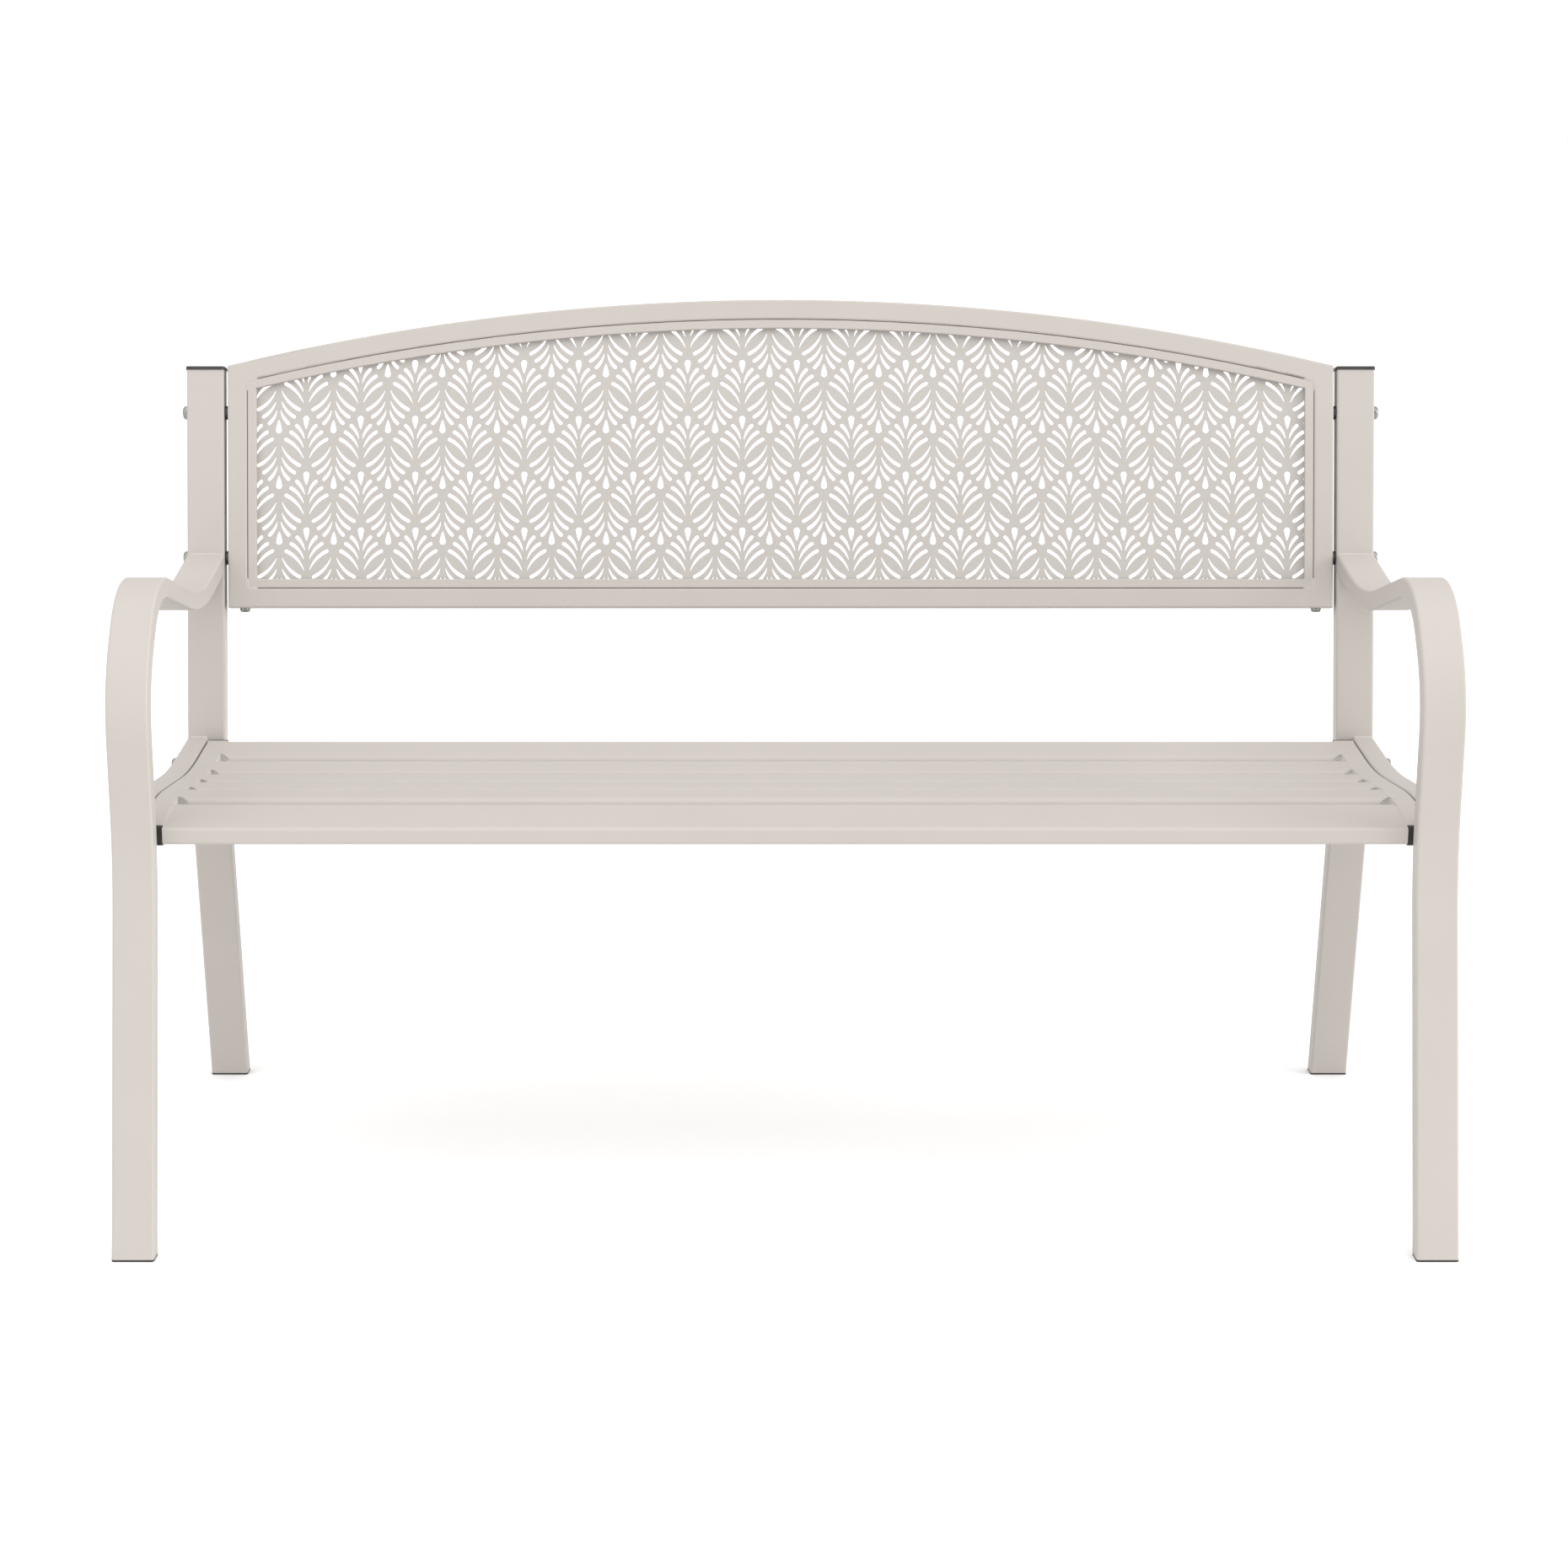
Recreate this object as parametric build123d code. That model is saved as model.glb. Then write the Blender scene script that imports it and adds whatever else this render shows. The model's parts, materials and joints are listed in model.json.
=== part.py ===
from build123d import *
from math import atan, cos, radians, sin, sqrt, tan
import os

# Garden bench: two bent-tube side frames, a slatted seat unit and an arched perforated backrest.
# Millimetres, +Z up, the front of the bench faces -Y, X runs along the seat.
# Side-view points are (y, z) with y counted back from the front feet; the last lines
# move everything so that the origin is the centre of the footprint.

os.makedirs("parts", exist_ok=True)

# side frames
HALF_WIDTH = 635.0
FRAME_TUBE_WIDTH = 40.0
TUBE_DEPTH = 20.0
TUBE_CORNER = 2.5
TUBE_WALL = 1.5
ARM_FACE = [(-0.7, 0.0), (88.6, 366.9), (85.7, 532.5), (166.4, 630.6), (394.0, 568.9), (543.8, 592.1)]
ARM_BENDS = [381.0, 134.0, 88.0, 303.0]
KNEE = (485.3, 380.5)
REAR_FOOT_Y = 544.3
KNEE_BEND = 150.0
BACK_LEAN = radians(12.28)
POST_TOP = 411.5
FOOT_OVERRUN = 15.0

# plastic ends
PLUG_FLANGE = 2.0
PLUG_INSERT = 12.0
PLUG_CLEARANCE = 0.2
CAP_LIP = 3.8
CAP_OVERHANG = 0.9
SEAT_PLUG_LIP = 3.4

# backrest, heights measured up the back from the knee
BACK_HALF = 591.3
ARCH_RADIUS = 2519.0
ARCH_RAIL_PIECES = 12
BORE_OVERRUN = 20.0
ARCH_APEX = 486.4
BACK_BOTTOM = 157.2
RAIL_WIDTH = 20.8
RAIL_CORNER = 2.2
GROOVE = 0.5
RIM_WIDTH = 9.4
RIM_RECESS = 0.5
RIM_DEPTH = 6.0
RIM_CHAMFER = 0.8
PANEL_THICKNESS = 1.5
PATTERN_MARGIN = 4.0
CORNER_SCREW_X = 574.5
CORNER_SCREW_DIAMETER = 11.0
CORNER_SCREW_HEIGHT = 4.5

# perforation
MOTIF_PITCH_X = 58.4
MOTIF_PITCH_UP = 59.7
MOTIF_START_X = 17.4
MOTIF_START_UP = 362.9
MOTIF_DROP = 18.4
DROP_LENGTH = 14.7
DROP_WIDTH = 6.4
FROND_END_WIDTH = 3.7
FROND_FULLNESS = 0.36
FRONDS = [
    ((1.65, 25.7), (11.5, 9.2), 1.4),
    ((2.5, 35.4), (17.9, 16.5), 2.2),
    ((2.3, 47.5), (23.4, 24.4), 3.0),
]
SMALLEST_HOLE = 3.0

# seat
SEAT_CURVE = [(103.3, 395.4), (183.2, 407.7), (369.4, 389.0), (478.4, 397.5)]
SEAT_BENDS = [358.0, 540.0]
SEAT_RAIL_WIDTH = 22.0
SEAT_TUBE_WIDTH = 22.0
SEAT_TUBE_CORNER = 2.0
SEAT_GAP = 1.5
SEAT_RAIL_REACH = 30.0
SEAT_TUBE_START = 7.9
SLAT_PITCH = 60.0
SLAT_WIDTH = 53.0
SLAT_EDGE_RADIUS = 9.0
SLAT_DROP = 11.0
SLAT_SHEET = 1.2
SLAT_COUNT = 5
REAR_SLAT_EXTRA = 6.0
REAR_SLAT_RADIUS = 5.0
FRONT_SLAT_FACE = 16.5
FRONT_SLAT_RETURN = 10.0
FRONT_SLAT_RADIUS = 3.5
NOTCH_X = 12.0
NOTCH_Y = 11.5
NOTCH_LEAD = 3.0
SUPPORT_WIDTH = 20.0
SUPPORT_DEPTH = 14.0
SUPPORT_SINK = 10.5
SUPPORT_START = 32.0

# bolts
BOLT_DIAMETER = 8.0
BOLT_HOLE = 8.6
BOLT_HEAD = 14.5
BOLT_HEAD_HEIGHT = 5.2
SOCKET_ACROSS = 5.0
SOCKET_DEPTH = 2.6
NUT_BARREL = 11.0
NUT_FLANGE = 14.0
NUT_FLANGE_THICKNESS = 0.6
NUT_LENGTH = 13.0
BACK_BOLT_HEIGHTS = [211.0, 366.3]
SEAT_BOLT_RUNS = [67.0, 322.0]

SEAT_RAIL_X = HALF_WIDTH - SEAT_RAIL_WIDTH / 2
SEAT_TUBE_OUT = HALF_WIDTH - SEAT_RAIL_WIDTH - SEAT_GAP
SEAT_TUBE_IN = SEAT_TUBE_OUT - SEAT_TUBE_WIDTH
FRAME_TUBE_X = HALF_WIDTH - FRAME_TUBE_WIDTH / 2
POST_INNER_X = HALF_WIDTH - FRAME_TUBE_WIDTH
BACK_MID_DEPTH = -TUBE_DEPTH / 2
SIDES = {"left": -1, "right": 1}

BACK = Plane(
    origin=(0, KNEE[0], KNEE[1]),
    x_dir=(1, 0, 0),
    z_dir=(0, -cos(BACK_LEAN), sin(BACK_LEAN)),
)


def unit(vector):
    return vector * (1.0 / vector.length)


def right_of(direction):
    """The side-view direction a quarter turn clockwise from this one."""
    return Vector(0, direction.Z, -direction.Y)


def shifted(points, inset):
    """Side-view points of a bent line, moved square to the line by inset."""
    spots = [Vector(0, y, z) for y, z in points]
    runs = [unit(after - before) for before, after in zip(spots, spots[1:])]
    moved = [spots[0] + right_of(runs[0]) * inset]
    for spot, run_in, run_out in zip(spots[1:-1], runs, runs[1:]):
        mid = unit(right_of(run_in) + right_of(run_out))
        moved.append(spot + mid * (inset / mid.dot(right_of(run_out))))
    moved.append(spots[-1] + right_of(runs[-1]) * inset)
    return moved, runs


def bent_edges(points, bends, inset, x):
    """Straight runs and bend arcs through side-view points, at one x."""
    spots, runs = shifted(points, inset)
    aside = Vector(x, 0, 0)
    edges = []
    start = spots[0]
    for spot, run_in, run_out, bend in zip(spots[1:-1], runs, runs[1:], bends):
        clockwise = right_of(run_in).dot(run_out) > 0
        radius = bend - inset if clockwise else bend + inset
        half_turn = radians(run_in.get_angle(run_out)) / 2
        reach = radius * tan(half_turn)
        inner = unit(run_out - run_in)
        middle = spot + inner * (radius / cos(half_turn) - radius)
        edges.append(Edge.make_line(start + aside, spot - run_in * reach + aside))
        edges.append(
            Edge.make_three_point_arc(
                spot - run_in * reach + aside, middle + aside, spot + run_out * reach + aside
            )
        )
        start = spot + run_out * reach
    edges.append(Edge.make_line(start + aside, spots[-1] + aside))
    return edges


def bent_path(points, bends, inset, x):
    return Wire(bent_edges(points, bends, inset, x))


def bar_along(path, width, depth, corner):
    """Solid bar of rounded rectangular section swept along a side-view path."""
    start = Plane(origin=path.position_at(0), x_dir=(1, 0, 0), z_dir=path.tangent_at(0))
    return sweep(start * RectangleRounded(width, depth, corner), path=path)


def tube_along(path, width, depth=TUBE_DEPTH, corner=TUBE_CORNER, wall=TUBE_WALL):
    outside = bar_along(path, width, depth, corner)
    inside = bar_along(path, width - 2 * wall, depth - 2 * wall, corner - wall)
    return outside - inside


def biggest(shape):
    return max(shape.solids(), key=lambda solid: solid.volume)


def overrun(points, start_by):
    """The same side-view points with the first one pushed further out along its run."""
    first = Vector(0, *points[0])
    out = unit(first - Vector(0, *points[1])) * start_by
    return [(first.Y + out.Y, first.Z + out.Z)] + list(points[1:])


def slab(z_low, z_high):
    return Pos(0, 0, (z_low + z_high) / 2) * Box(4000, 4000, z_high - z_low)


def foot_plug(path, width):
    """Plastic plug of one foot: a flange on the ground and a stub inside the tube."""
    flange = bar_along(path, width, TUBE_DEPTH, TUBE_CORNER) & slab(0, PLUG_FLANGE)
    trim = 2 * (TUBE_WALL + PLUG_CLEARANCE)
    stub = bar_along(path, width - trim, TUBE_DEPTH - trim, TUBE_CORNER - TUBE_WALL)
    stub = stub & slab(PLUG_FLANGE, PLUG_FLANGE + PLUG_INSERT)
    return biggest(flange + stub)


def end_plug(end, width, corner, lip, overhang, top_round):
    """Plastic plug for a square tube end; end is the plane of the cut, pointing out of the tube."""
    outline = RectangleRounded(width + 2 * overhang, TUBE_DEPTH + 2 * overhang, corner + overhang)
    cap = extrude(end * outline, lip)
    rim = cap.faces().sort_by(Axis(end.origin, end.z_dir))[-1].edges()
    cap = fillet(rim, top_round)
    trim = 2 * (TUBE_WALL + PLUG_CLEARANCE)
    bore = RectangleRounded(width - trim, TUBE_DEPTH - trim, corner - TUBE_WALL)
    stub = extrude(end * bore, -PLUG_INSERT)
    return biggest(cap + stub)


def rod(x_from, x_to, centre, diameter):
    """Round bar along X between two x positions, centre given as side-view (y, z)."""
    ends = Plane(origin=(min(x_from, x_to), centre[0], centre[1]), z_dir=(1, 0, 0))
    return extrude(ends * Circle(diameter / 2), abs(x_to - x_from))


def ring(x_from, x_to, centre, outer, inner):
    return rod(x_from, x_to, centre, outer) - rod(x_from, x_to, centre, inner)


def cap_bolt(side, centre, length):
    """Button-head socket bolt whose head rests on the outer face of a side frame."""
    face = Plane(origin=(side * HALF_WIDTH, centre[0], centre[1]), z_dir=(side, 0, 0))
    head = extrude(face * Circle(BOLT_HEAD / 2), BOLT_HEAD_HEIGHT)
    crown = head.faces().sort_by(Axis(face.origin, face.z_dir))[-1].edges()
    head = fillet(crown, BOLT_HEAD_HEIGHT * 0.62)
    mouth = Plane(origin=face.origin + face.z_dir * BOLT_HEAD_HEIGHT, z_dir=face.z_dir)
    socket = extrude(mouth * RegularPolygon(SOCKET_ACROSS / 2, 6, major_radius=False), -SOCKET_DEPTH)
    shank = extrude(face * Circle(BOLT_DIAMETER / 2), -length)
    tip = shank.faces().sort_by(Axis(face.origin, face.z_dir))[0].edges()
    shank = chamfer(tip, 0.8)
    return biggest(head - socket + shank)


def rivet_nut(side, face_x, centre):
    """Threaded insert set in a tube wall, its flange outside the wall at face_x."""
    barrel = ring(side * face_x, side * (face_x - NUT_LENGTH), centre, NUT_BARREL, BOLT_DIAMETER + 0.1)
    flange = ring(
        side * face_x, side * (face_x + NUT_FLANGE_THICKNESS), centre, NUT_FLANGE, BOLT_DIAMETER + 0.1
    )
    return biggest(barrel + flange)


def on_back(x, up):
    """Point of the backrest's middle plane, x along the bench and up measured up the back."""
    return BACK.from_local_coords(Vector(x, up, BACK_MID_DEPTH))


# seat curve and places along it
seat_top = bent_path(SEAT_CURVE, SEAT_BENDS, 0, 0)


def seat_frame(run):
    """Point on the seat curve at a run from the front edge, with the directions back and up."""
    spot = seat_top.position_at(run, position_mode=PositionMode.LENGTH)
    back = seat_top.tangent_at(run, position_mode=PositionMode.LENGTH)
    return spot, back, right_of(back) * -1


def seat_spot(run, along, above):
    spot, back, up = seat_frame(run)
    point = spot + back * along + up * above
    return (point.Y, point.Z)


seat_bolt_centres = [seat_spot(run, 0, -TUBE_DEPTH / 2) for run in SEAT_BOLT_RUNS]
back_bolt_centres = [(on_back(0, up).Y, on_back(0, up).Z) for up in BACK_BOLT_HEIGHTS]

# side frames
parts = {}
rear_foot = (REAR_FOOT_Y, 0.0)
post_end = BACK.from_local_coords(Vector(0, POST_TOP, 0))
POST_FACE = [rear_foot, KNEE, (post_end.Y, post_end.Z)]

seat_run = overrun(SEAT_CURVE, SEAT_RAIL_REACH)
seat_run = overrun(seat_run[::-1], SEAT_RAIL_REACH)[::-1]

for name, side in SIDES.items():
    x = side * FRAME_TUBE_X
    arm_path = bent_path(overrun(ARM_FACE, FOOT_OVERRUN), ARM_BENDS, TUBE_DEPTH / 2, x)
    post_path = bent_path(overrun(POST_FACE, FOOT_OVERRUN), [KNEE_BEND], TUBE_DEPTH / 2, x)
    arm_bar = bar_along(arm_path, FRAME_TUBE_WIDTH, TUBE_DEPTH, TUBE_CORNER)
    post_bar = bar_along(post_path, FRAME_TUBE_WIDTH, TUBE_DEPTH, TUBE_CORNER)
    below = slab(-200, PLUG_FLANGE)

    arm = tube_along(arm_path, FRAME_TUBE_WIDTH) - below - post_bar
    parts[f"arm_front_leg_{name}"] = biggest(arm)

    post = tube_along(post_path, FRAME_TUBE_WIDTH) - below
    for centre in back_bolt_centres:
        post = post - rod(side * (POST_INNER_X - 5), side * (HALF_WIDTH + 5), centre, BOLT_HOLE)
    parts[f"rear_post_{name}"] = biggest(post)

    rail_path = bent_path(seat_run, SEAT_BENDS, TUBE_DEPTH / 2, side * SEAT_RAIL_X)
    rail = tube_along(rail_path, SEAT_RAIL_WIDTH, corner=SEAT_TUBE_CORNER) - arm_bar - post_bar
    for centre in seat_bolt_centres:
        rail = rail - rod(side * SEAT_TUBE_OUT, side * (HALF_WIDTH + 5), centre, BOLT_HOLE)
    parts[f"seat_rail_{name}"] = biggest(rail)

    parts[f"front_foot_plug_{name}"] = foot_plug(arm_path, FRAME_TUBE_WIDTH)
    parts[f"rear_foot_plug_{name}"] = foot_plug(post_path, FRAME_TUBE_WIDTH)
    post_cut = Plane(origin=post_path.position_at(1), x_dir=(1, 0, 0), z_dir=post_path.tangent_at(1))
    parts[f"post_cap_{name}"] = end_plug(
        post_cut, FRAME_TUBE_WIDTH, TUBE_CORNER, CAP_LIP, CAP_OVERHANG, 1.2
    )

# seat unit
seat_length = seat_top.length
for name, side in SIDES.items():
    x = side * (SEAT_TUBE_IN + SEAT_TUBE_OUT) / 2
    tube_points = [seat_spot(SEAT_TUBE_START, 0, 0)] + SEAT_CURVE[1:]
    tube_path = bent_path(tube_points, SEAT_BENDS, TUBE_DEPTH / 2, x)
    end_tube = tube_along(tube_path, SEAT_TUBE_WIDTH, corner=SEAT_TUBE_CORNER)
    for centre in seat_bolt_centres:
        wall_hole = rod(side * (SEAT_TUBE_OUT - 5), side * (SEAT_TUBE_OUT + 5), centre, NUT_BARREL)
        end_tube = end_tube - wall_hole
    parts[f"seat_end_tube_{name}"] = biggest(end_tube)
    front_cut = Plane(origin=tube_path.position_at(0), x_dir=(1, 0, 0), z_dir=tube_path.tangent_at(0) * -1)
    rear_cut = Plane(origin=tube_path.position_at(1), x_dir=(1, 0, 0), z_dir=tube_path.tangent_at(1))
    for place, cut in (("front", front_cut), ("rear", rear_cut)):
        plug = end_plug(cut, SEAT_TUBE_WIDTH, SEAT_TUBE_CORNER, SEAT_PLUG_LIP, 0.0, 1.0)
        parts[f"seat_{place}_plug_{name}"] = plug


def folded_sheet(points, bends, sheet):
    """Folded sheet running the full length of the seat, from the side-view line of its outer face."""
    outside = bent_edges(points, bends, 0, -SEAT_TUBE_IN)
    inside = bent_edges(points, bends, sheet, -SEAT_TUBE_IN)
    close_first = Edge.make_line(outside[0].position_at(0), inside[0].position_at(0))
    close_last = Edge.make_line(outside[-1].position_at(1), inside[-1].position_at(1))
    section = Face(Wire(outside + inside + [close_first, close_last]))
    return extrude(section, 2 * SEAT_TUBE_IN, dir=(1, 0, 0))


def corner_notch(side, run, along, facing):
    """Wedge that trims the rolled edge of a slat where it meets a seat end tube."""
    spot, back, up = seat_frame(run)
    edge = spot + back * along
    plane = Plane(origin=(side * SEAT_TUBE_IN, edge.Y, edge.Z), x_dir=(-side, 0, 0), z_dir=up)
    inward = 1 if plane.y_dir.dot(back * facing) < 0 else -1
    wedge = Polygon((0, 0), (NOTCH_X, 0), (0, inward * NOTCH_Y), align=None)
    lead_depth = -inward * NOTCH_LEAD
    lead = Polygon((0, 0), (NOTCH_X, 0), (NOTCH_X, lead_depth), (0, lead_depth), align=None)
    return extrude(plane * (wedge + lead), 30, both=True)


for number in range(SLAT_COUNT):
    rear_run = seat_length - REAR_SLAT_EXTRA - number * SLAT_PITCH
    front_run = rear_run - SLAT_WIDTH
    rear_radius = SLAT_EDGE_RADIUS
    if number == 0:
        rear_run = seat_length
        rear_radius = REAR_SLAT_RADIUS
    run = (front_run + rear_run) / 2
    half = (rear_run - front_run) / 2
    corners = [(-half, -SLAT_DROP), (-half, 0), (half, 0), (half, -SLAT_DROP)]
    points = [seat_spot(run, along, above) for along, above in corners]
    slat = folded_sheet(points, [SLAT_EDGE_RADIUS, rear_radius], SLAT_SHEET)
    for side in SIDES.values():
        slat = slat - corner_notch(side, run, -half, -1)
        if number > 0:
            slat = slat - corner_notch(side, run, half, 1)
    parts[f"seat_slat_{number + 1}"] = biggest(slat)

front_end = seat_length - REAR_SLAT_EXTRA - SLAT_COUNT * SLAT_PITCH
front_top = SEAT_CURVE[0]
front_rear = seat_spot(front_end, 0, 0)
front_points = [
    (front_top[0] + FRONT_SLAT_RETURN, front_top[1] - FRONT_SLAT_FACE),
    (front_top[0], front_top[1] - FRONT_SLAT_FACE),
    front_top,
    front_rear,
    seat_spot(front_end, 0, -SLAT_DROP),
]
front_radii = [FRONT_SLAT_RADIUS, FRONT_SLAT_RADIUS, SLAT_EDGE_RADIUS]
front_slat = folded_sheet(front_points, front_radii, SLAT_SHEET)
for side in SIDES.values():
    front_slat = front_slat - corner_notch(side, front_end, 0, 1)
parts["seat_front_slat"] = biggest(front_slat)

support_points = [seat_spot(SUPPORT_START, 0, 0)] + SEAT_CURVE[1:]
support_path = bent_path(support_points, SEAT_BENDS, SUPPORT_SINK + SUPPORT_DEPTH / 2, 0)
support = tube_along(support_path, SUPPORT_WIDTH, SUPPORT_DEPTH)
for number in range(SLAT_COUNT):
    support = support - parts[f"seat_slat_{number + 1}"]
parts["seat_centre_support"] = biggest(support - parts["seat_front_slat"])

# backrest frame: four hollow members mitred at the corners
ARCH_CENTRE = ARCH_APEX - ARCH_RADIUS


def arch_height(x, inset):
    return ARCH_CENTRE + sqrt((ARCH_RADIUS - inset) ** 2 - x**2)


def corner_points(inset):
    x = BACK_HALF - inset
    return x, BACK_BOTTOM + inset, arch_height(x, inset)


def arch_edges(x_from, x_to, inset, pieces):
    """The arched edge at an inset, in equal arcs of one radius from one x to another."""
    step = (x_to - x_from) / (2 * pieces)
    edges = []
    for number in range(pieces):
        across = [x_from + step * (2 * number + part) for part in range(3)]
        edges.append(Edge.make_three_point_arc(*[(x, arch_height(x, inset)) for x in across]))
    return edges


def arched_outline(inset):
    """Closed outline of the backrest in its own plane, moved in from the outer edge by inset."""
    x, low, high = corner_points(inset)
    edges = arch_edges(x, -x, inset, 1)
    edges.append(Edge.make_line((-x, high), (-x, low)))
    edges.append(Edge.make_line((-x, low), (x, low)))
    edges.append(Edge.make_line((x, low), (x, high)))
    return Wire(edges)


def member_solid(which, outer_inset, inner_inset, front, back, reach, pieces):
    """One member between two insets, mitred at its corners, its ends pushed out by reach."""
    x_out, low_out, high_out = corner_points(outer_inset)
    x_in, low_in, high_in = corner_points(inner_inset)
    if which == "top":
        outer = arch_edges(x_out + reach, -x_out - reach, outer_inset, pieces)
        inner = arch_edges(-x_in - reach, x_in + reach, inner_inset, pieces)
        left_end = Edge.make_line(outer[-1].position_at(1), inner[0].position_at(0))
        right_end = Edge.make_line(inner[-1].position_at(1), outer[0].position_at(0))
        outline = Wire(outer + inner + [left_end, right_end])
    elif which == "bottom":
        corners = [(-x_out - reach, low_out), (x_out + reach, low_out)]
        corners += [(x_in + reach, low_in), (-x_in - reach, low_in)]
        outline = Wire.make_polygon(corners, close=True)
    else:
        side = SIDES[which]
        corners = [(side * x_out, low_out - reach), (side * x_out, high_out + reach)]
        corners += [(side * x_in, high_in + reach), (side * x_in, low_in - reach)]
        outline = Wire.make_polygon(corners, close=True)
    region = Face(outline)
    if region.normal_at().Z < 0:
        region = -region
    return Pos(0, 0, -back) * extrude(region, back - front, dir=(0, 0, 1), clean=False)


def rail_member(which, outer_inset, inner_inset, front, back, corner, reach=0.0):
    """Solid bar of one rail, all four long edges rounded."""
    member = member_solid(which, outer_inset, inner_inset, front, back, reach, ARCH_RAIL_PIECES)
    if which == "top":
        return fillet(member.edges().filter_by(GeomType.CIRCLE), corner)
    return fillet(member.edges().sort_by(SortBy.LENGTH)[-4:], corner)


RAIL_NAMES = {"top": "back_arch_rail", "bottom": "back_bottom_rail"}
RAIL_NAMES.update({name: f"back_side_rail_{name}" for name in SIDES})
hollow_inset = RAIL_WIDTH - TUBE_WALL
hollow_back = TUBE_DEPTH - TUBE_WALL
hollow_corner = RAIL_CORNER - TUBE_WALL
rim_outer = RAIL_WIDTH + GROOVE
rim_inner = rim_outer + RIM_WIDTH

for which, rail_name in RAIL_NAMES.items():
    rail = rail_member(which, 0, RAIL_WIDTH, 0, TUBE_DEPTH, RAIL_CORNER)
    bore = rail_member(which, TUBE_WALL, hollow_inset, TUBE_WALL, hollow_back, hollow_corner, BORE_OVERRUN)
    rail = BACK * biggest(rail.cut(bore))
    if which in SIDES:
        side = SIDES[which]
        for centre in back_bolt_centres:
            rail = rail - rod(side * (BACK_HALF - 5), side * (BACK_HALF + 5), centre, NUT_BARREL)
    parts[rail_name] = biggest(rail)
    rim_back = RIM_RECESS + RIM_DEPTH
    rim = member_solid(which, rim_outer, rim_inner, RIM_RECESS, rim_back, 0, 1)
    rim_edges = rim.edges().sort_by(SortBy.LENGTH)[-4:]
    rim = chamfer(rim_edges.sort_by(Axis.Z)[-2:], RIM_CHAMFER)
    parts[f"back_rim_{which}"] = BACK * rim

# perforated sheet
pattern_edge = RAIL_WIDTH + PATTERN_MARGIN
pattern_area = Face(arched_outline(pattern_edge))


def turned(point, mirrored, flipped, origin):
    """Motif point (outward, down) placed on the sheet, mirrored across the stem or turned upside down."""
    across = -point[0] if mirrored else point[0]
    if flipped:
        return Vector(origin[0] - across, origin[1] + point[1], 0)
    return Vector(origin[0] + across, origin[1] - point[1], 0)


def frond_points(tip, end, bow):
    """Tip, both flanks, rounded end: the six points that define one curved slot."""
    start = Vector(tip[0], tip[1], 0)
    stop = Vector(end[0], end[1], 0)
    run = unit(stop - start)
    across = Vector(run.Y, -run.X, 0)
    swing = 2 * atan(2 * bow / (stop - start).length)
    heading = run * cos(swing) - across * sin(swing)
    beside = Vector(heading.Y, -heading.X, 0)
    half = FROND_END_WIDTH / 2
    cap = stop - heading * half
    middle = (start + cap) * 0.5 + across * bow
    flank = across * FROND_END_WIDTH * FROND_FULLNESS
    spots = [start, middle + flank, cap + beside * half, stop, cap - beside * half, middle - flank]
    return [(spot.X, spot.Y) for spot in spots]


def drop_points():
    half = DROP_WIDTH / 2
    waist = 0.58 * DROP_LENGTH
    left = [(-0.7 * half, waist), (-half, half)]
    right = [(half, half), (0.7 * half, waist)]
    return [(0, DROP_LENGTH)] + left + [(0, 0)] + right


def slot_wire(spots):
    """Closed slot outline: flank arc, round end, flank arc."""
    tip, flank_a, shoulder_a, end, shoulder_b, flank_b = spots
    return Wire(
        [
            Edge.make_three_point_arc(tip, flank_a, shoulder_a),
            Edge.make_three_point_arc(shoulder_a, end, shoulder_b),
            Edge.make_three_point_arc(shoulder_b, flank_b, tip),
        ]
    )


def inside_pattern(spot):
    low_enough = spot.Y < arch_height(spot.X, pattern_edge)
    return abs(spot.X) < BACK_HALF - pattern_edge and BACK_BOTTOM + pattern_edge < spot.Y and low_enough


motif = [(drop_points(), False)]
for tip, end, bow in FRONDS:
    motif.append((frond_points(tip, end, bow), False))
    motif.append((frond_points(tip, end, bow), True))

holes = []
columns = int(BACK_HALF / MOTIF_PITCH_X) + 2
for column in range(-columns, columns + 1):
    for row in range(-5, 5):
        upright = (MOTIF_START_X + column * MOTIF_PITCH_X, MOTIF_START_UP + row * MOTIF_PITCH_UP)
        hanging = (upright[0] + MOTIF_PITCH_X / 2, upright[1] - MOTIF_DROP)
        for origin, flipped in ((upright, False), (hanging, True)):
            for points, mirrored in motif:
                if abs(origin[0]) > BACK_HALF + MOTIF_PITCH_X:
                    continue
                spots = [turned(point, mirrored, flipped, origin) for point in points]
                hits = [inside_pattern(spot) for spot in spots]
                if all(hits):
                    holes.append(slot_wire(spots))
                elif any(hits):
                    clipped = Face(slot_wire(spots)) & pattern_area
                    for piece in clipped.faces():
                        if piece.area > SMALLEST_HOLE:
                            holes.append(piece.outer_wire())

sheet = Face(arched_outline(RAIL_WIDTH), holes)
sheet_front = RIM_RECESS + RIM_DEPTH
sheet = Pos(0, 0, -sheet_front - PANEL_THICKNESS) * extrude(sheet, PANEL_THICKNESS, dir=(0, 0, 1))
parts["back_panel"] = BACK * sheet

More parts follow.
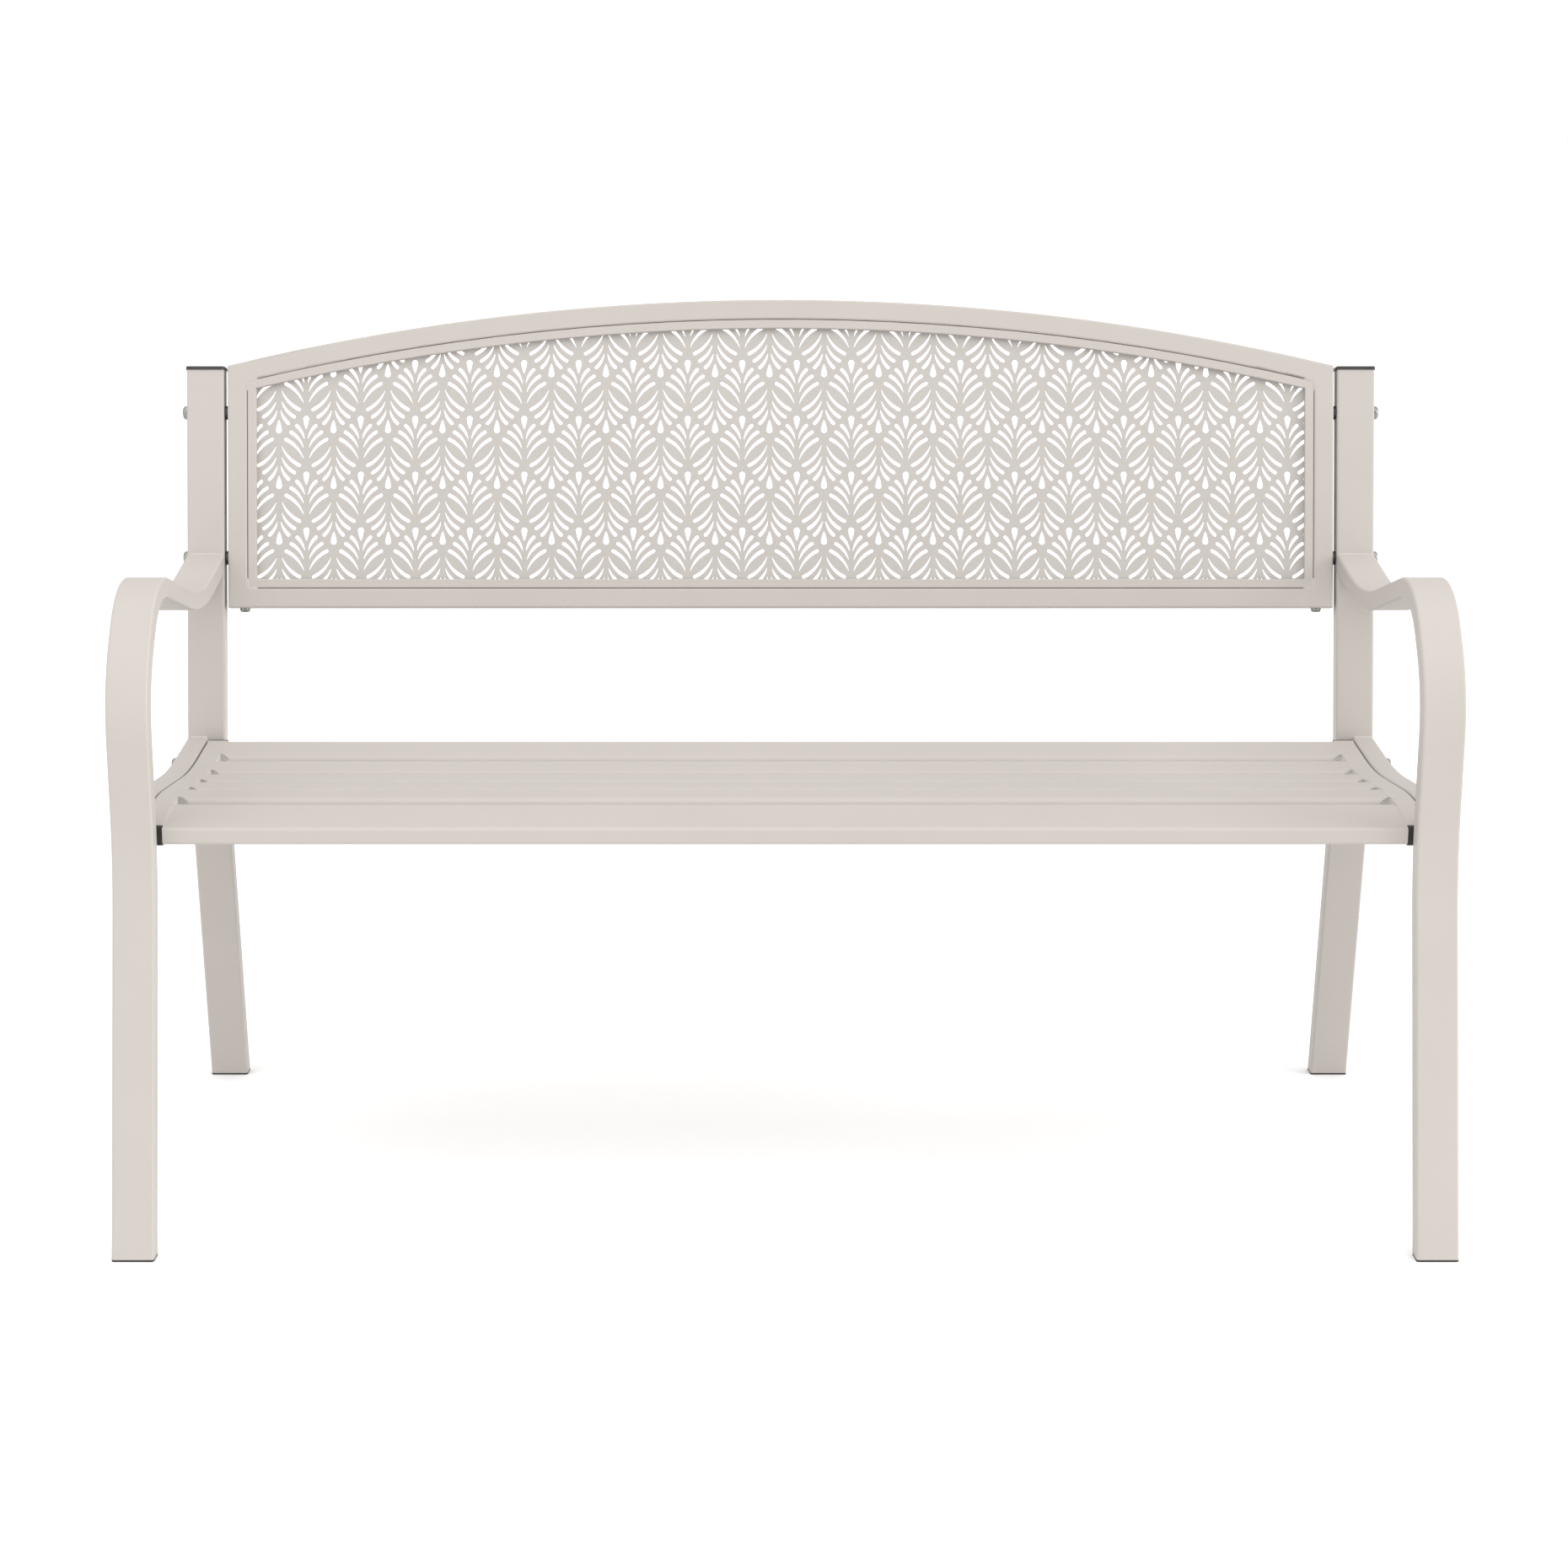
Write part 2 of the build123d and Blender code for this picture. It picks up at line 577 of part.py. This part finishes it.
# fasteners
bolts = []
spacers = []
nuts = []
seat_bolts = []
seat_spacers = []
seat_nuts = []
screws = []
for side in SIDES.values():
    for centre in back_bolt_centres:
        reach = HALF_WIDTH - BACK_HALF + NUT_LENGTH
        bolts.append(cap_bolt(side, centre, reach))
        nuts.append(rivet_nut(side, BACK_HALF, centre))
        flange_x = BACK_HALF + NUT_FLANGE_THICKNESS
        spacers.append(ring(side * flange_x, side * POST_INNER_X, centre, BOLT_HEAD, BOLT_HOLE))
    for centre in seat_bolt_centres:
        reach = HALF_WIDTH - SEAT_TUBE_OUT + NUT_LENGTH
        seat_bolts.append(cap_bolt(side, centre, reach))
        seat_nuts.append(rivet_nut(side, SEAT_TUBE_OUT, centre))
        flange_x = SEAT_TUBE_OUT + NUT_FLANGE_THICKNESS
        rail_x = SEAT_TUBE_OUT + SEAT_GAP
        seat_spacers.append(ring(side * flange_x, side * rail_x, centre, BOLT_HEAD, BOLT_HOLE))
    seat_of_screw = BACK.from_local_coords(Vector(side * CORNER_SCREW_X, BACK_BOTTOM, BACK_MID_DEPTH))
    down = Plane(origin=seat_of_screw, x_dir=(1, 0, 0), z_dir=BACK.y_dir * -1)
    dome = extrude(down * Circle(CORNER_SCREW_DIAMETER / 2), CORNER_SCREW_HEIGHT)
    crown = dome.faces().sort_by(Axis(down.origin, down.z_dir))[-1].edges()
    dome = fillet(crown, 3.0)
    screws.append(dome)

parts["back_bolts"] = Compound(bolts)
parts["back_spacers"] = Compound(spacers)
parts["back_rivet_nuts"] = Compound(nuts)
parts["seat_bolts"] = Compound(seat_bolts)
parts["seat_spacers"] = Compound(seat_spacers)
parts["seat_rivet_nuts"] = Compound(seat_nuts)
parts["back_corner_screws"] = Compound(screws)

# origin at the centre of the footprint
whole = Compound([solid for shape in parts.values() for solid in shape.solids()]).bounding_box()
footprint_shift = Pos(0, -(whole.min.Y + whole.max.Y) / 2, 0)
for node, shape in parts.items():
    export_step(footprint_shift * shape, f"parts/{node}.step")
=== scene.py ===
import json
import math
import random

import bmesh
import bpy
import numpy as np
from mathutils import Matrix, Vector


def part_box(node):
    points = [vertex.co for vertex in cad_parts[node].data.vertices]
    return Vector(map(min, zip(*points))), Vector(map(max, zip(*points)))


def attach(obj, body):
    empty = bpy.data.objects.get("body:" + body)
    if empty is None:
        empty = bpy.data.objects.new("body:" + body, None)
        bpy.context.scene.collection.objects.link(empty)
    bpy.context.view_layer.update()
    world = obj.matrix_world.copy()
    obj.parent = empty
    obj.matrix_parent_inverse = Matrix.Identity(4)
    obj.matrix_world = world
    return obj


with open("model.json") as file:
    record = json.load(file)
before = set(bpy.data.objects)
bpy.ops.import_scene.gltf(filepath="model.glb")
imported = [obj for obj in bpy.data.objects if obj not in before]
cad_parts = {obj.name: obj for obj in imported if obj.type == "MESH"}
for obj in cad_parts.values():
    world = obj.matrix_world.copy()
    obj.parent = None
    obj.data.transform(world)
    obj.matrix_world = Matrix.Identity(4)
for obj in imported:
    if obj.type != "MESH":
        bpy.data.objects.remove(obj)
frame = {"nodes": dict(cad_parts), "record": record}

random.seed(11)
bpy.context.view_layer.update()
nodes = frame["nodes"]
# the front foot's face starts 0.7 mm before the design's y = 0
SHIFT_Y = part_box("front_foot_plug_left")[0].y + 0.0007
SIDES = (("left", -1), ("right", 1))


def spot(x, y, z):
    """Design millimetres (y counted back from the front feet) to the row frame in metres."""
    return Vector((x / 1000.0, y / 1000.0 + SHIFT_Y, z / 1000.0))


# ---------------------------------------------------------------- materials
def new_material(name):
    """Material with one principled shader, and the object coordinates to drive it."""
    material = bpy.data.materials.new(name)
    material.use_nodes = True
    tree = material.node_tree
    tree.nodes.clear()
    output = tree.nodes.new("ShaderNodeOutputMaterial")
    shader = tree.nodes.new("ShaderNodeBsdfPrincipled")
    tree.links.new(shader.outputs["BSDF"], output.inputs["Surface"])
    coords = tree.nodes.new("ShaderNodeTexCoord")
    return material, tree, shader, coords.outputs["Object"]


def noise(tree, coords, scale, detail=2.0, roughness=0.5):
    node = tree.nodes.new("ShaderNodeTexNoise")
    node.inputs["Scale"].default_value = scale
    node.inputs["Detail"].default_value = detail
    node.inputs["Roughness"].default_value = roughness
    tree.links.new(coords, node.inputs["Vector"])
    return node.outputs["Fac"]


def remap(tree, value, low, high, to_low, to_high):
    node = tree.nodes.new("ShaderNodeMapRange")
    node.inputs["From Min"].default_value = low
    node.inputs["From Max"].default_value = high
    node.inputs["To Min"].default_value = to_low
    node.inputs["To Max"].default_value = to_high
    tree.links.new(value, node.inputs["Value"])
    return node.outputs["Result"]


def blend_colours(tree, factor, first, second):
    node = tree.nodes.new("ShaderNodeMix")
    node.data_type = "RGBA"
    tree.links.new(factor, node.inputs[0])
    for socket, value in ((node.inputs[6], first), (node.inputs[7], second)):
        if isinstance(value, tuple):
            socket.default_value = (*value, 1.0)
        else:
            tree.links.new(value, socket)
    return node.outputs[2]


def bump(tree, height, distance, strength, under=None):
    node = tree.nodes.new("ShaderNodeBump")
    node.inputs["Distance"].default_value = distance
    node.inputs["Strength"].default_value = strength
    tree.links.new(height, node.inputs["Height"])
    if under is not None:
        tree.links.new(under, node.inputs["Normal"])
    return node.outputs["Normal"]


def powder_coat(name, light, dark, roughness):
    """Satin powder coat: soft orange peel, fine speckle and faint cloudiness."""
    material, tree, shader, coords = new_material(name)
    cloud = noise(tree, coords, 9.0, 3.0, 0.55)
    speckle = noise(tree, coords, 1500.0, 1.0, 0.5)
    peel = noise(tree, coords, 420.0, 2.0, 0.45)
    swell = noise(tree, coords, 14.0, 1.0, 0.4)
    base = blend_colours(tree, remap(tree, cloud, 0.3, 0.7, 0.0, 1.0), dark, light)
    grains = tuple(min(1.0, c * 1.05) for c in light)
    tint = blend_colours(tree, remap(tree, speckle, 0.62, 0.78, 0.0, 0.6), base, grains)
    tree.links.new(tint, shader.inputs["Base Color"])
    sheen = remap(tree, cloud, 0.25, 0.75, roughness - 0.03, roughness + 0.04)
    tree.links.new(sheen, shader.inputs["Roughness"])
    normal = bump(tree, swell, 0.004, 0.05)
    normal = bump(tree, peel, 0.0004, 0.16, normal)
    normal = bump(tree, speckle, 0.0001, 0.10, normal)
    tree.links.new(normal, shader.inputs["Normal"])
    shader.inputs["Specular IOR Level"].default_value = 0.30
    return material


def moulded_plastic(name):
    """Black moulded plastic with a fine grain."""
    material, tree, shader, coords = new_material(name)
    grain = noise(tree, coords, 900.0, 3.0, 0.6)
    patch = noise(tree, coords, 60.0, 2.0, 0.5)
    share = remap(tree, patch, 0.3, 0.7, 0.0, 1.0)
    tint = blend_colours(tree, share, (0.018, 0.017, 0.016), (0.032, 0.030, 0.028))
    tree.links.new(tint, shader.inputs["Base Color"])
    tree.links.new(remap(tree, grain, 0.3, 0.7, 0.42, 0.58), shader.inputs["Roughness"])
    tree.links.new(bump(tree, grain, 0.0003, 0.25), shader.inputs["Normal"])
    return material


def zinc_plate(name):
    """Dull bright zinc, cloudy and finely scratched."""
    material, tree, shader, coords = new_material(name)
    cloud = noise(tree, coords, 160.0, 3.0, 0.6)
    scratch = noise(tree, coords, 2400.0, 2.0, 0.7)
    share = remap(tree, cloud, 0.3, 0.7, 0.0, 1.0)
    tint = blend_colours(tree, share, (0.20, 0.20, 0.19), (0.30, 0.30, 0.29))
    tree.links.new(tint, shader.inputs["Base Color"])
    tree.links.new(remap(tree, cloud, 0.3, 0.7, 0.26, 0.40), shader.inputs["Roughness"])
    tree.links.new(bump(tree, scratch, 0.0001, 0.2), shader.inputs["Normal"])
    shader.inputs["Metallic"].default_value = 1.0
    return material


paint = powder_coat("paint", (0.420, 0.388, 0.361), (0.408, 0.376, 0.349), 0.55)
sheet_paint = powder_coat("panel_paint", (0.412, 0.386, 0.364), (0.400, 0.374, 0.352), 0.58)
plastic = moulded_plastic("black_plastic")
zinc = zinc_plate("zinc")
finish_of = {"paint": paint, "panel_paint": sheet_paint, "black_plastic": plastic, "zinc": zinc}

for entry in frame["record"]["subparts"]:
    node = nodes[entry["node"]]
    node.data.materials.clear()
    node.data.materials.append(finish_of[entry["material_slot"]])


def add_mesh(name, vertices, faces, material):
    """Smooth closed piece that belongs to the bench, its faces turned outward."""
    mesh = bpy.data.meshes.new(name)
    mesh.from_pydata(vertices, [], faces)
    shell = bmesh.new()
    shell.from_mesh(mesh)
    bmesh.ops.recalc_face_normals(shell, faces=shell.faces[:])
    shell.to_mesh(mesh)
    shell.free()
    mesh.update()
    mesh.polygons.foreach_set("use_smooth", [True] * len(mesh.polygons))
    piece = bpy.data.objects.new(name, mesh)
    bpy.context.scene.collection.objects.link(piece)
    mesh.materials.append(material)
    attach(piece, "root")
    return piece


# weld beads, lengths in metres
BEAD_STEPS = 9  # points across the crown
BEAD_SPACING = 0.0012  # between rings
RIPPLE_SPACING = 0.0035
RIPPLE_LEVEL = 0.6  # part of a ripple that leaves the crown's height as it is
BEAD_SINK = 0.002  # depth below the joint
BEAD_FOOT = 0.6  # width at that depth, as a share of the crown's
BEAD_TAPER = 0.003  # length over which each end grows
BEAD_END = 0.05  # least share of the taper, before its square root
HEIGHT_JITTER = 0.04
WIDTH_JITTER = 0.03


def bead_rings(points, outward, width, height, sink, ripple, taper):
    """Cross-section rings of a weld bead that runs along points, its crown facing outward."""
    rings = []
    total = sum((b - a).length for a, b in zip(points, points[1:]))
    count = max(4, int(total / BEAD_SPACING))
    lengths = [0.0]
    for a, b in zip(points, points[1:]):
        lengths.append(lengths[-1] + (b - a).length)
    for k in range(count + 1):
        run = total * k / count
        index = max(i for i in range(len(points) - 1) if lengths[i] <= run + 1e-9)
        span = lengths[index + 1] - lengths[index]
        t = (run - lengths[index]) / span
        centre = points[index].lerp(points[index + 1], t)
        along = (points[index + 1] - points[index]).normalized()
        up = (outward - along * outward.dot(along)).normalized()
        side = along.cross(up)
        end = math.sqrt(max(BEAD_END, min(1.0, min(run, total - run) / taper)))
        swell = ripple * (abs(math.sin(math.pi * run / RIPPLE_SPACING)) - RIPPLE_LEVEL)
        wave = 1.0 + swell + random.uniform(-HEIGHT_JITTER, HEIGHT_JITTER)
        w = width / 2 * end * (1 + random.uniform(-WIDTH_JITTER, WIDTH_JITTER))
        h = height * end * wave
        ring = []
        for s in range(BEAD_STEPS):
            angle = math.pi * s / (BEAD_STEPS - 1)
            ring.append(centre + side * (w * math.cos(angle)) + up * (h * math.sin(angle)))
        ring.append(centre - up * sink - side * (w * BEAD_FOOT))
        ring.append(centre - up * sink + side * (w * BEAD_FOOT))
        rings.append(ring)
    return rings


def skin_rings(rings, vertices, faces):
    """Append the closed skin over a row of equal rings, with both ends capped."""
    start = len(vertices)
    size = len(rings[0])
    for ring in rings:
        vertices.extend(ring)
    for k in range(len(rings) - 1):
        for s in range(size):
            a = start + k * size + s
            b = start + k * size + (s + 1) % size
            faces.append((a, b, b + size, a + size))
    faces.append(tuple(start + s for s in reversed(range(size))))
    last = start + (len(rings) - 1) * size
    faces.append(tuple(last + s for s in range(size)))


def weld(name, runs):
    """One piece holding several beads; each run is (points, outward, width, height, ripple)."""
    vertices, faces = [], []
    for points, outward, width, height, ripple in runs:
        rings = bead_rings(points, outward, width, height, BEAD_SINK, ripple, BEAD_TAPER)
        skin_rings(rings, vertices, faces)
    return add_mesh(name, [tuple(v) for v in vertices], faces, paint)


# ---------------------------------------------------------------- seat curve
SEAT_CURVE = [(103.3, 395.4), (183.2, 407.7), (369.4, 389.0), (478.4, 397.5)]
SEAT_BENDS = [358.0, 540.0]
SEAT_TUBE_IN = 589.5
SLAT_COUNT = 5
SLAT_PITCH = 60.0
SLAT_WIDTH = 53.0
REAR_SLAT_EXTRA = 6.0
NOTCH = 11.5
BEND_STEPS = 16
# seams between slats and end tubes: lap into the notch, stop before the seat's rear end,
# start of the front slat's seam, rings per seam, dip of the end rings and wobble of the crown
SEAM_LAP = 0.8
SEAM_REAR_MARGIN = 4.0
FRONT_SEAM_START = 8.4
SLAT_SEAM_RINGS = 15
FRONT_SEAM_RINGS = 17
SEAM_END_DROP = 0.5
SEAM_WOBBLE = 0.02


def bent_line(points, bends):
    """Dense side-view line through the points, every inner corner rounded to its bend radius."""
    spots = [Vector(point) for point in points]
    dense = [spots[0]]
    for before, corner, after, radius in zip(spots, spots[1:], spots[2:], bends):
        run_in = (corner - before).normalized()
        run_out = (after - corner).normalized()
        turn = run_in.angle(run_out)
        reach = radius * math.tan(turn / 2)
        centre = corner + (run_out - run_in).normalized() * (radius / math.cos(turn / 2))
        start = corner - run_in * reach - centre
        end = corner + run_out * reach - centre
        for k in range(BEND_STEPS + 1):
            t = k / BEND_STEPS
            spoke = (start * math.sin((1 - t) * turn) + end * math.sin(t * turn)) / math.sin(turn)
            dense.append(centre + spoke)
    dense.append(spots[-1])
    return dense


seat_line = bent_line(SEAT_CURVE, SEAT_BENDS)
seat_runs = [0.0]
for first, second in zip(seat_line, seat_line[1:]):
    seat_runs.append(seat_runs[-1] + (second - first).length)
seat_length = seat_runs[-1]


def seat_spot(run, along=0.0, above=0.0):
    """Side-view point: at a run on the seat curve, then along its tangent and square above it."""
    index = 0
    while index < len(seat_line) - 2 and seat_runs[index + 1] < run:
        index += 1
    back = (seat_line[index + 1] - seat_line[index]).normalized()
    place = seat_line[index] + back * (run - seat_runs[index])
    return place + back * along + Vector((-back.y, back.x)) * above


def seam_strip(name, side, slat_tops, tube_tops):
    """Smooth fill between the end of a slat and the rounded shoulder of the seat end tube."""
    vertices, faces, rings = [], [], []
    last = len(slat_tops) - 1
    for k, (slat, tube) in enumerate(zip(slat_tops, tube_tops)):
        drop = SEAM_END_DROP if k in (0, last) else 0.0
        wobble = random.uniform(-SEAM_WOBBLE, SEAM_WOBBLE)
        # out from the tube's inner side, point it starts from, height above that point
        outline = (
            (-2.0, slat, -0.06),
            (-0.9, slat, 0.04 + wobble),
            (0.4, (slat + tube) / 2, 0.05 + wobble),
            (1.9, tube, 0.04),
            (3.1, tube, -0.15),
            (3.1, tube, -2.6),
            (-2.0, slat, -1.0),
        )
        rings.append([spot(side * (SEAT_TUBE_IN + x), p.x, p.y + h - drop) for x, p, h in outline])
    skin_rings(rings, vertices, faces)
    return add_mesh(name, [tuple(v) for v in vertices], faces, paint)


front_end = seat_length - REAR_SLAT_EXTRA - SLAT_COUNT * SLAT_PITCH
for label, side in SIDES:
    for number in range(SLAT_COUNT):
        rear_run = seat_length - REAR_SLAT_EXTRA - number * SLAT_PITCH
        front_run = rear_run - SLAT_WIDTH
        rear_stop = rear_run - NOTCH
        if number == 0:
            rear_run = seat_length
            rear_stop = seat_length - SEAM_REAR_MARGIN
        middle = (front_run + rear_run) / 2
        stops = np.linspace(
            front_run + NOTCH - SEAM_LAP, rear_stop + SEAM_LAP, SLAT_SEAM_RINGS
        )
        slat_tops = [seat_spot(middle, float(run) - middle) for run in stops]
        tube_tops = [seat_spot(float(run)) for run in stops]
        seam_strip(f"seam_slat_{number + 1}_{label}", side, slat_tops, tube_tops)
    front_top = Vector(SEAT_CURVE[0])
    rear_top = seat_spot(front_end)
    stops = np.linspace(FRONT_SEAM_START, front_end - NOTCH + SEAM_LAP, FRONT_SEAM_RINGS)
    slat_tops = [front_top.lerp(rear_top, float(run) / front_end) for run in stops]
    tube_tops = [seat_spot(float(run)) for run in stops]
    seam_strip(f"seam_front_slat_{label}", side, slat_tops, tube_tops)

# ---------------------------------------------------------------- backrest corners
KNEE = (485.3, 380.5)
BACK_LEAN = math.radians(12.28)
BACK_HALF = 591.3
BACK_BOTTOM = 157.2
ARCH_APEX = 486.4
ARCH_RADIUS = 2519.0
OPENING_INSET = 30.7


def back_spot(x, up, depth):
    """Point of the backrest: across, up the back from the knee, and depth behind its front face."""
    y = KNEE[0] + up * math.sin(BACK_LEAN) + depth * math.cos(BACK_LEAN)
    z = KNEE[1] + up * math.cos(BACK_LEAN) - depth * math.sin(BACK_LEAN)
    return spot(x, y, z)


def arch_height(x, inset):
    """Height up the back of the arch at x, moved in from the outer edge by the inset."""
    return ARCH_APEX - ARCH_RADIUS + math.sqrt((ARCH_RADIUS - inset) ** 2 - x * x)


# inset from the outer edge and depth of the fill between tube and rim
FILL_FACE = ((18.0, 0.12), (18.9, -0.03), (20.0, 0.0), (21.2, 0.14), (22.2, 0.38), (23.0, 0.62))
FILL_BACK = ((22.6, 3.5), (18.6, 3.5))
# leg (upright or level), reach past the opening's corner, how far the face dives there
FILL_STATIONS = (
    ("upright", 1.5, 1.8),
    ("upright", 0.2, 0.5),
    ("upright", -1.2, 0.0),
    ("corner", 0.0, 0.0),
    ("level", -1.2, 0.0),
    ("level", 0.2, 0.5),
    ("level", 1.5, 1.8),
)


def fill_point(side, top, leg, reach, inset, depth):
    """Point of a corner fill, from its inset off the outer edge and its place along the leg."""
    end = OPENING_INSET + reach
    x = BACK_HALF - (end if leg == "level" else inset)
    rise = end if leg == "upright" else inset
    up = arch_height(x, inset) - (rise - inset) if top else BACK_BOTTOM + rise
    return back_spot(side * x, up, depth)


def corner_fill(name, side, top):
    """Flush fill that closes the groove between tube and rim at one corner of the opening."""
    rings = []
    for leg, reach, dive in FILL_STATIONS:
        face = [(inset, depth + dive) for inset, depth in FILL_FACE]
        ring = [
            fill_point(side, top, leg, reach, inset, depth) for inset, depth in (*face, *FILL_BACK)
        ]
        rings.append(ring)
    vertices, faces = [], []
    skin_rings(rings, vertices, faces)
    return add_mesh(name, [tuple(v) for v in vertices], faces, paint)


for label, side in SIDES:
    corner_fill(f"corner_fill_top_{label}", side, True)
    corner_fill(f"corner_fill_bottom_{label}", side, False)

# ---------------------------------------------------------------- frame welds
# each seam: start and end (x out from the middle, y, z), outward direction, width, height, ripple
ARM_TO_POST = (
    ((596.5, 530.7, 590.2), (633.5, 530.7, 590.2), (0, -0.62, 0.78), 0.0044, 0.0006, 0.06),
    ((596.5, 526.3, 569.0), (633.5, 526.3, 569.0), (0, -0.7, -0.7), 0.0044, 0.0008, 0.08),
)
RAIL_TO_ARM = (
    ((613.5, 107.9, 396.3), (633.5, 107.9, 396.3), (0, 0.7, 0.7), 0.0050, 0.0014, 0.12),
    ((612.8, 107.6, 377.5), (612.8, 107.6, 394.0), (-0.7, 0.7, 0), 0.0048, 0.0012, 0.12),
)
RAIL_TO_POST = (
    ((613.5, 489.0, 398.4), (633.5, 489.0, 398.4), (0, -0.7, 0.7), 0.0050, 0.0014, 0.12),
    ((612.8, 485.9, 379.5), (612.8, 488.6, 396.0), (-0.7, -0.7, 0), 0.0048, 0.0012, 0.12),
)


def mirrored_seam(side, start, end, outward, width, height, ripple):
    """Run for weld() from a seam given for the right side."""
    points = [spot(side * x, y, z) for x, y, z in (start, end)]
    return points, Vector((side * outward[0], outward[1], outward[2])), width, height, ripple


for label, side in SIDES:
    for joint, seams in (
        ("arm_post", ARM_TO_POST),
        ("rail_arm", RAIL_TO_ARM),
        ("rail_post", RAIL_TO_POST),
    ):
        weld(f"weld_{joint}_{label}", [mirrored_seam(side, *seam) for seam in seams])

# ---------------------------------------------------------------- camera
CAMERA_PLACE = (-36.8, -2640.6, 1086.7)
CAMERA_TILT = 13.292  # degrees below level
CAMERA_LENS = 68.69
SENSOR_WIDTH = 36.0
CAMERA_SHIFT = 0.02411
camera_data = bpy.data.cameras.new("camera")
camera_data.sensor_width = SENSOR_WIDTH
camera_data.lens = CAMERA_LENS
camera_data.clip_start = 0.05
camera_data.clip_end = 200.0
camera = bpy.data.objects.new("camera", camera_data)
bpy.context.scene.collection.objects.link(camera)
camera.location = spot(*CAMERA_PLACE)
camera.rotation_euler = (math.radians(90 - CAMERA_TILT), 0.0, 0.0)
camera_data.shift_x = CAMERA_SHIFT
bpy.context.scene.camera = camera

# ---------------------------------------------------------------- studio
FLOOR_RADIUS = 45.0
FLOOR_SIDES = 96
world = bpy.data.worlds.new("studio")
world.use_nodes = True
world.node_tree.nodes["Background"].inputs["Color"].default_value = (1.0, 1.0, 1.0, 1.0)
world.node_tree.nodes["Background"].inputs["Strength"].default_value = 1.0
bpy.context.scene.world = world
bpy.context.scene.view_settings.view_transform = "Standard"


def floor_material():
    material, tree, shader, coords = new_material("floor")
    patch = noise(tree, coords, 1.5, 2.0, 0.5)
    tint = blend_colours(tree, patch, (0.89, 0.89, 0.89), (0.91, 0.91, 0.91))
    tree.links.new(tint, shader.inputs["Base Color"])
    shader.inputs["Roughness"].default_value = 0.9
    shader.inputs["Specular IOR Level"].default_value = 0.1
    return material


bpy.ops.mesh.primitive_circle_add(
    vertices=FLOOR_SIDES, radius=FLOOR_RADIUS, fill_type="NGON", location=(0, 0, 0)
)
floor = bpy.context.object
floor.name = "floor"
floor.data.materials.append(floor_material())


def soft_sun(name, towards_light, angle, strength):
    """Sun that shines from the given direction, its disc angle degrees wide."""
    data = bpy.data.lights.new(name, "SUN")
    data.angle = math.radians(angle)
    data.energy = strength
    light = bpy.data.objects.new(name, data)
    bpy.context.scene.collection.objects.link(light)
    light.rotation_euler = Vector(towards_light).to_track_quat("Z", "Y").to_euler()
    return light


soft_sun("key", (0.56, -0.18, 0.16), 40.0, 1.75)
soft_sun("fill", (-0.22, -0.18, 0.10), 60.0, 0.72)
soft_sun("top", (0.05, -0.25, 1.0), 80.0, 1.32)
